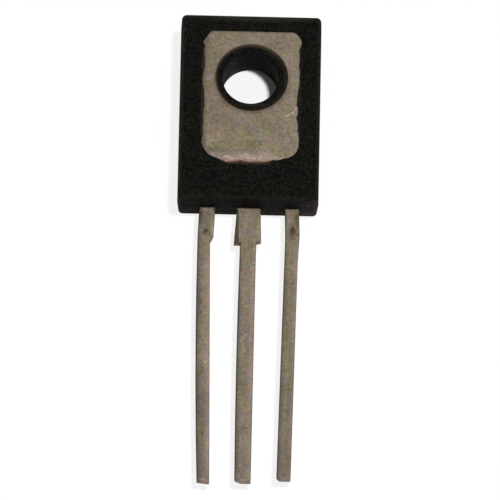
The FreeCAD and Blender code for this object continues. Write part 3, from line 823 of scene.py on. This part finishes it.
def beyond_hole(tree, place, middle):
    """Distance outwards from the edge of the tab's hole."""
    flat = tree.vector_math("MULTIPLY", tree.vector_math("SUBTRACT", place, middle), (1.0, 1.0, 0.0))
    return tree.math("SUBTRACT", tree.vector_math("LENGTH", flat), TAB_HOLE_RADIUS)


# ---------------------------------------------------------------- moulding


def painted_end_light(tree, place, end_light_colour):
    """The end that the leads come out of, blotched: painted reflected light makes it lighter than the
    faces, and painted shade makes it darker above than below.
    """
    blotches = tree.noise(place, scale=3.5, detail=3.0, roughness=0.6)
    end = toned(tree, colour(end_light_colour), tree.ramp(blotches, *MIDDLE, start=0.5, end=1.5))
    return toned(tree, end, tree.ramp(tree.parts(place)["Z"], 0.5, 0.9, start=1.08, end=0.76))


def painted_wall_light(tree, place):
    """Painted light on the upright walls and in the bore, fainter upwards and gone at the face."""
    height = tree.parts(place)["Z"]
    return tree.times(
        all_marks(tree, place, MOULDING_MARKS, "wall_lights"),
        tree.fall(height, METAL_FACE - 0.25, METAL_FACE - 0.1),
        tree.ramp(height, 0.2, 1.1, start=1.0, end=0.4),
    )


def painted_rim_highlights(tree, place):
    """Painted highlights where the upright walls meet the faces, less at the leads' end and on the
    right.
    """
    middle = (BODY_LOW + BODY_HIGH) / 2
    half = (BODY_HIGH - BODY_LOW) / 2
    outward = tree.vector_math("ABSOLUTE", tree.vector_math("SUBTRACT", place, tuple(middle)))
    depth = tree.parts(tree.vector_math("SUBTRACT", tuple(half), outward))
    wall = tree.math("MINIMUM", depth["X"], depth["Y"])
    near_both = tree.math("ADD", tree.fall(wall, 0.0, 0.3), tree.fall(depth["Z"], 0.0, 0.3))
    part = tree.parts(place)
    rim_highlights = tree.times(
        tree.ramp(tree.noise(place, scale=3.0, detail=4.0, roughness=0.7), *MIDDLE, start=0.3, end=1.0),
        tree.ramp(part["Y"], BODY_END, BODY_END + 1.0, start=0.5, end=1.0),
        tree.ramp(part["X"], BODY_HIGH.x - 1.0, BODY_HIGH.x, start=1.0, end=0.7),
    )
    return tree.times(tree.ramp(near_both, 1.0, 1.7), rim_highlights)


def flash_and_liner_highlight(tree, place):
    """The thin flash on the moulding's face, beside and below the window, and a painted highlight
    round the liner.
    """
    part = tree.parts(place)
    from_window = beyond_window(tree, place, WINDOW_MIDDLE)
    from_hole = beyond_hole(tree, place, HOLE_AXIS)

    # below the window, only at its middle
    below = tree.times(
        tree.fall(from_window, 0.0, 0.2),
        tree.fall(part["Y"], -4.8, -4.6),
        tree.fall(tree.away(part["X"], -0.1), 0.9, 1.5),
    )
    # beside the window, fainter on the right
    beside = tree.times(
        tree.ramp(from_window, 0.0, 0.16, start=0.4, end=0.0),
        tree.fall(tree.away(part["Y"], -0.9), 2.4, 2.9),
        tree.ramp(part["X"], -2.0, 2.0, start=1.0, end=0.5),
    )
    # where the liner's painted highlight ends and the window's flash begins
    past_liner = (0.04, 0.1)
    outside = tree.times(tree.most(below, beside), tree.ramp(from_hole, *past_liner))

    # painted highlight on the liner inside the tab's hole, brightest at its upper left
    up_and_left = tree.vector_math("DOT_PRODUCT", place, (-0.32, 0.4, 0.0))
    liner_highlight = tree.times(
        tree.ramp(from_hole, -0.24, -0.02),
        tree.ramp(up_and_left, -0.4, 0.7, start=0.25, end=1.2),
        tree.fall(from_hole, *past_liner),
    )
    on_face = tree.ramp(part["Z"], METAL_FACE - 0.08, METAL_FACE - 0.02)
    return tree.times(tree.most(outside, liner_highlight), on_face)


def epoxy_material(look):
    """Black moulding epoxy: matt grain, faint filler specks, and painted highlights along the edges."""
    material, tree, shader, place = new_material("black_epoxy", look.colour)
    grain = tree.call("grain", Place=place, Fineness=9.0, Contrast=2.5)
    clouds = tree.noise(place, scale=0.9, detail=4.0, roughness=0.6)
    base = toned(tree, colour(look.colour), tree.ramp(clouds, *WIDER, start=0.88, end=1.12))
    filler = tree.call("specks", Place=place, Fineness=8.0, Rarity=0.5, Radius=0.45)["Mask"]
    base = tree.blend(tree.times(filler, 0.7), base, colour(look.filler_colour))
    # painted reflected light and shade on the end that the leads come out of
    base = tree.blend(facing_tips(tree), base, painted_end_light(tree, place, look.end_light_colour))
    # painted light on the walls and in the bore, strongest low down
    base = tree.blend(painted_wall_light(tree, place), base, colour(look.wall_light_colour))
    base = mottled(tree, base, place, fineness=8.0, swing=(2.3, 2.1, 2.8))
    base = toned(tree, base, grain["Tone"])

    # painted highlights along the rims, on the liner's lower edge and on the top rim
    base = tree.blend(painted_rim_highlights(tree, place), base, colour(look.rim_highlight_colour))
    base = marked(tree, place, base, MOULDING_MARKS, "rim_highlights", look.rim_highlight_colour)
    # flash beside the window, and the painted highlight on the liner
    base = tree.blend(flash_and_liner_highlight(tree, place), base, colour(look.flash_and_highlight_colour))
    base = mottled(tree, base, place, fineness=6.0, swing=(0.9, 0.8, 1.0))

    tree.put(shader["Base Color"], base)
    tree.put(shader["Specular IOR Level"], 0.014)
    rough = tree.ramp(clouds, *WIDEST, start=look.roughness - 0.06, end=look.roughness + 0.08)
    tree.put(shader["Roughness"], rough)
    add_bump(tree, shader, grain["Height"], look.grain)
    return material


# ---------------------------------------------------------------- plating


def film_and_edge_shade(tree, place):
    """Resin that crept thinly over the tab, along the window's edge and round the hole, and painted
    shade along the window's edge.
    """
    part = tree.parts(place)
    # off the window's middle and the hole's axis, so wider on the left and at the lower right
    window_middle = (WINDOW_MIDDLE[0] + 0.1, WINDOW_MIDDLE[1], 0.0)
    hole_middle = (0.04, -0.07, 0.0)
    at_window = tree.times(
        tree.ramp(beyond_window(tree, place, window_middle), -0.22, 0.08, start=0.0, end=0.7),
        tree.ramp(part["X"], 1.5, 2.2, start=1.0, end=0.35),
    )
    at_hole = tree.ramp(beyond_hole(tree, place, hole_middle), -0.02, 0.2, start=0.55, end=0.0)
    halo = tree.ramp(beyond_hole(tree, place, HOLE_AXIS), 0.0, 0.45, start=0.12, end=0.0)
    film = tree.most(at_window, tree.most(at_hole, halo))
    return tree.times(film, tree.ramp(part["Y"], *UNDER_MOULDING))


def coined_strip(tree, place, clouds):
    """The rubbed slope at the window's lower end."""
    part = tree.parts(place)
    wavy = tree.math("ADD", part["Y"], tree.swing(clouds, 0.5))
    return tree.times(
        tree.fall(wavy, -4.72, -4.36),
        tree.ramp(part["Y"], -5.2, -5.0),
        tree.fall(tree.away(part["X"], -0.25), 1.1, 2.0),
    )


def copper_edge(tree, place):
    """The thin line of bare copper along the window's lower edge."""
    along = tree.parts(place)["Y"]
    return tree.times(
        tree.ramp(beyond_window(tree, place, WINDOW_MIDDLE), -0.28, -0.04, start=0.0, end=0.95),
        tree.fall(along, -4.7, -4.2),
        tree.ramp(along, *UNDER_MOULDING),
    )


def painted_side_shade(tree):
    """The sheared sides, with painted shade: darker where they face left, a little where they face
    right.
    """
    sideways = facing(tree, "X")
    left = tree.ramp(sideways, -SQUARE_ON, -SLANTING, start=0.6, end=0.0)
    right = tree.ramp(sideways, 0.4, SQUARE_ON, start=0.0, end=0.1)
    return tree.most(left, right)


def clean_plating(tree, place, look, clouds, tip_tone):
    """The plating before its marks: clouds, patches and drifts, and painted shade towards the leads'
    tips.
    """
    base = tree.blend(tree.ramp(clouds, 0.35, 0.68), colour(look.colour), colour(look.cool_colour))
    patches = tree.vector_math("ADD", place, PATCHES_FROM)
    patches = tree.noise(patches, scale=0.55, detail=3.0, roughness=0.55)
    base = toned(tree, base, tree.ramp(patches, *WIDER, start=0.88, end=1.1))
    drifts = tree.vector_math("ADD", place, DRIFTS_FROM)
    drifts = tree.noise(drifts, scale=2.6, detail=2.0, roughness=0.5)
    base = toned(tree, base, tree.ramp(drifts, *MIDDLE, start=0.91, end=1.09))
    base = mottled(tree, base, place, fineness=1.7, swing=(0.4, 0.35, 1.0))
    along = tree.parts(place)["Y"]
    # painted shade, darker towards the leads' tips
    tip_shade = tree.ramp(along, LEAD_TIP + 4.0, BODY_END - 1.5, start=tip_tone, end=1.0)
    return toned(tree, base, tip_shade)


def painted_glints_and_scratches(tree, place, marks, scratches):
    """A mask of painted glints, scratches scraped bright, and a fine painted sparkle of specks."""
    glint = all_marks(tree, place, marks, "glints")
    for start, finish, width in scratches:
        scratch = tree.call("scratch", Place=place, Start=start, Finish=finish, Width=width)
        glint = tree.most(glint, scratch["Mask"])
    specks = tree.call("specks", Place=place, Fineness=7.5, Rarity=0.58, Radius=0.42)
    return tree.most(glint, tree.times(specks["Mask"], 0.22))


def plating_material(name, look, marks, tip_tone, scratches=(), has_window=False):
    """Dull tin over copper: soft clouds, a fine painted sparkle, and each mark in its place, painted
    highlights and shade among them.
    """
    material, tree, shader, place = new_material(name, look.colour)
    grain = tree.call("grain", Place=place, Fineness=6.0, Contrast=0.62)
    clouds = tree.noise(place, scale=1.3, detail=4.0, roughness=0.6)
    base = clean_plating(tree, place, look, clouds, tip_tone)
    # painted highlights along the right edges, shoulders and tips
    base = marked(tree, place, base, marks, "edge_highlights", look.edge_highlight_colour)
    # the cut ends: bare copper, painted lighter as if lit like the top faces
    base = tree.blend(facing_tips(tree), base, colour(look.cut_end_and_light_colour))
    base = marked(tree, place, base, marks, "tints", look.tint_colour)
    # painted shade along the leads' left edges
    base = marked(tree, place, base, marks, "edge_shade", look.edge_shade_colour)

    glint = painted_glints_and_scratches(tree, place, marks, scratches)
    if has_window:
        strip = coined_strip(tree, place, clouds)
        base = tree.blend(tree.times(strip, 0.85), base, colour(look.coined_colour))
        # painted sparkle on the coined strip
        sparkle = tree.noise(place, scale=6.5, detail=2.0, roughness=0.6)
        sparkle = tree.ramp(sparkle, 0.52, 0.72, start=0.0, end=0.5)
        glint = tree.most(glint, tree.times(sparkle, strip))
        base = tree.blend(copper_edge(tree, place), base, colour(look.edge_colour))

    base = marked(tree, place, base, marks, "stains", look.stain_colour)
    # dark spots, and painted shade at the roots and the window's corners
    base = marked(tree, place, base, marks, "spots_and_shade", look.spot_and_shade_colour)
    base = mottled(tree, base, place, fineness=8.0, swing=(1.1, 0.9, 1.8))
    base = toned(tree, base, grain["Tone"])
    # painted glints and sparkle, and the bright scratches
    base = tree.blend(glint, base, colour(look.glint_and_scratch_colour))
    if has_window:
        # resin film, with painted shade along the window's edge
        base = tree.blend(film_and_edge_shade(tree, place), base, colour(look.film_and_shade_colour))
    # painted shade on the sides, by the way they face
    base = tree.blend(painted_side_shade(tree), base, colour(look.side_shade_colour))

    tree.put(shader["Base Color"], base)
    tree.put(shader["Metallic"], 0.35)
    dull = tree.ramp(clouds, *WIDEST, start=0.58, end=0.66)
    tree.put(shader["Roughness"], tree.math("SUBTRACT", dull, tree.times(glint, 0.15)))
    add_bump(tree, shader, grain["Height"], look.grain)
    return material


# ---------------------------------------------------------------- hidden pieces


def inner_material(name):
    """A clean surface of metal or silicon with a faint grain."""
    shade, metallic, roughness, fineness = INNER_FINISHES[name]
    material, tree, shader, place = new_material(name, shade)
    grain = tree.call("grain", Place=place, Fineness=fineness, Contrast=INNER_CONTRAST)
    tree.put(shader["Base Color"], toned(tree, colour(shade), grain["Tone"]))
    tree.put(shader["Metallic"], metallic)
    tree.put(shader["Roughness"], roughness)
    add_bump(tree, shader, grain["Height"], INNER_GRAIN)
    return material


def dress(node, material):
    """Gives a CAD node its finish."""
    mesh = NODES[node].data
    mesh.materials.clear()
    mesh.materials.append(material)


# ---------------------------------------------------------------- operators


class TRANSISTOR_OT_effects(bpy.types.Operator):
    """Builds the effects that the finishes share"""

    bl_idname = "transistor.build_effects"
    bl_label = "Shared effects"

    def execute(self, context):
        build_grain()
        build_smudge()
        build_scratch()
        build_mottle()
        build_specks()
        return {"FINISHED"}


class TRANSISTOR_OT_moulding(bpy.types.Operator):
    """Gives the moulded body its matt black epoxy"""

    bl_idname = "transistor.dress_moulding"
    bl_label = "Moulded body"

    def execute(self, context):
        dress("moulded_body", epoxy_material(context.scene.transistor_moulding))
        return {"FINISHED"}


class TRANSISTOR_OT_tab(bpy.types.Operator):
    """Gives the collector's tab and lead their plating, marks and scratches"""

    bl_idname = "transistor.dress_tab"
    bl_label = "Collector tab"

    def execute(self, context):
        look = context.scene.transistor_plating
        material = plating_material(
            "tab_plating", look, TAB_MARKS, look.tab_tip_tone, TAB_SCRATCHES, has_window=True
        )
        dress("collector_tab", material)
        return {"FINISHED"}


class TRANSISTOR_OT_leads(bpy.types.Operator):
    """Gives the two outer leads their plating and marks"""

    bl_idname = "transistor.dress_leads"
    bl_label = "Outer leads"

    def execute(self, context):
        look = context.scene.transistor_plating
        material = plating_material("lead_plating", look, LEAD_MARKS, look.lead_tip_tone)
        dress("base_lead", material)
        dress("emitter_lead", material)
        return {"FINISHED"}


class TRANSISTOR_OT_chip(bpy.types.Operator):
    """Gives the chip, its solder and its bond wires their finishes"""

    bl_idname = "transistor.dress_chip"
    bl_label = "Chip and wires"

    def execute(self, context):
        dress("silicon_chip", inner_material("polished_silicon"))
        dress("chip_solder", inner_material("dull_solder"))
        wire = inner_material("aluminium_wire")
        dress("base_wire", wire)
        dress("emitter_wire", wire)
        return {"FINISHED"}


class TRANSISTOR_OT_stage(bpy.types.Operator):
    """Sets the floor, the lights and the camera"""

    bl_idname = "transistor.set_stage"
    bl_label = "Stage"

    def execute(self, context):
        look = context.scene.transistor_stage
        self.add_floor()
        self.add_sky(context.scene, look)
        self.add_key(look)
        self.add_camera(context.scene, look)
        context.scene.view_settings.view_transform = "Standard"
        return {"FINISHED"}

    @staticmethod
    def seen_directly(tree):
        """1 for what the camera sees, also in a reflection or through glass."""
        path = tree.add("ShaderNodeLightPath").outputs
        mirrored = tree.most(path["Is Glossy Ray"], path["Is Transmission Ray"])
        return tree.most(path["Is Camera Ray"], mirrored)

    def add_floor(self):
        """White paper, which glows where the camera sees it and keeps the part's shadow."""
        bpy.ops.mesh.primitive_plane_add(size=FLOOR_SIZE, location=(0.0, 0.0, -FLOOR_DROP))
        floor = bpy.context.object
        floor.name = "floor"
        material = bpy.data.materials.new("white_floor")
        material.use_nodes = True
        tree = Tree(material.node_tree)
        tree.nodes.clear()
        paper = tree.add("ShaderNodeBsdfDiffuse", {"Color": PAPER}).outputs[0]
        glow = tree.add("ShaderNodeEmission", {"Color": WHITE, "Strength": 1.0}).outputs[0]
        metres = tree.add("ShaderNodeTexCoord").outputs["Object"]
        place = tree.vector_math("MULTIPLY", metres, (PER_METRE, PER_METRE, PER_METRE))
        glowing = tree.ramp(tree.vector_math("LENGTH", place), GLOW_FROM, GLOW_TO, 0.0, GLOW)
        share = tree.times(self.seen_directly(tree), glowing)
        mix = tree.add("ShaderNodeMixShader", {0: share, 1: paper, 2: glow})
        output = tree.add("ShaderNodeOutputMaterial")
        tree.put(output.inputs["Surface"], mix.outputs[0])
        floor.data.materials.append(material)

    def add_sky(self, scene, look):
        """An even light from all round, white where the camera sees it."""
        world = bpy.data.worlds.new("even_sky")
        scene.world = world
        world.use_nodes = True
        tree = Tree(world.node_tree)
        tree.nodes.clear()
        strength = tree.most(self.seen_directly(tree), look.sky)
        sky = tree.add("ShaderNodeBackground", {"Color": WHITE, "Strength": strength})
        tree.put(tree.add("ShaderNodeOutputWorld").inputs["Surface"], sky.outputs[0])

    def add_key(self, look):
        """The main lamp, above the part and to its right."""
        bpy.ops.object.light_add(type="AREA", location=KEY_PLACE)
        lamp = bpy.context.object
        lamp.name = "key_lamp"
        lamp.data.size = KEY_SIZE
        lamp.data.energy = look.key_power
        aim = Vector(KEY_AIM) - lamp.location
        lamp.rotation_mode = "QUATERNION"
        lamp.rotation_quaternion = aim.to_track_quat("-Z", "Y")

    def add_camera(self, scene, look):
        """A camera at the given distance and angles, aimed at the given point."""
        bpy.ops.object.camera_add()
        camera = bpy.context.object
        camera.name = "camera"
        back = Vector(
            (
                math.sin(look.azimuth) * math.cos(look.elevation),
                -math.cos(look.azimuth) * math.cos(look.elevation),
                math.sin(look.elevation),
            )
        )
        level = Vector((math.cos(look.azimuth), math.sin(look.azimuth), 0.0))
        upright = Matrix((level, back.cross(level), back)).transposed().to_4x4()
        place = Matrix.Translation(Vector(look.aim) + back * look.distance)
        camera.matrix_world = place @ upright @ Matrix.Rotation(-look.roll, 4, "Z")
        camera.data.sensor_width = SENSOR
        camera.data.lens = SENSOR * look.distance / look.field
        camera.data.clip_start = NEAREST_SEEN
        camera.data.clip_end = FARTHEST_SEEN
        scene.camera = camera


class TRANSISTOR_PT_panel(bpy.types.Panel):
    """Lists the pieces and the stage"""

    bl_idname = "TRANSISTOR_PT_panel"
    bl_label = "Power transistor"
    bl_space_type = "VIEW_3D"
    bl_region_type = "UI"
    bl_category = "Transistor"

    def draw(self, context):
        for operator in OPERATORS:
            self.layout.operator(operator.bl_idname)
        for name in SETTINGS:
            settings = getattr(context.scene, name)
            box = self.layout.box()
            for field in settings.bl_rna.properties.keys():
                if field not in ("rna_type", "name"):
                    box.prop(settings, field)


SETTINGS = {
    "transistor_moulding": TRANSISTOR_PG_moulding,
    "transistor_plating": TRANSISTOR_PG_plating,
    "transistor_stage": TRANSISTOR_PG_stage,
}
OPERATORS = (
    TRANSISTOR_OT_effects,
    TRANSISTOR_OT_moulding,
    TRANSISTOR_OT_tab,
    TRANSISTOR_OT_leads,
    TRANSISTOR_OT_chip,
    TRANSISTOR_OT_stage,
)


def register():
    for kind in (*SETTINGS.values(), *OPERATORS, TRANSISTOR_PT_panel):
        bpy.utils.register_class(kind)
    for name, kind in SETTINGS.items():
        setattr(bpy.types.Scene, name, PointerProperty(type=kind))


def unregister():
    for name in SETTINGS:
        delattr(bpy.types.Scene, name)
    for kind in (TRANSISTOR_PT_panel, *reversed(OPERATORS), *SETTINGS.values()):
        bpy.utils.unregister_class(kind)


def main():
    register()
    bpy.ops.transistor.build_effects()
    bpy.ops.transistor.dress_moulding()
    bpy.ops.transistor.dress_tab()
    bpy.ops.transistor.dress_leads()
    bpy.ops.transistor.dress_chip()
    bpy.ops.transistor.set_stage()


if __name__ == "__main__":
    main()
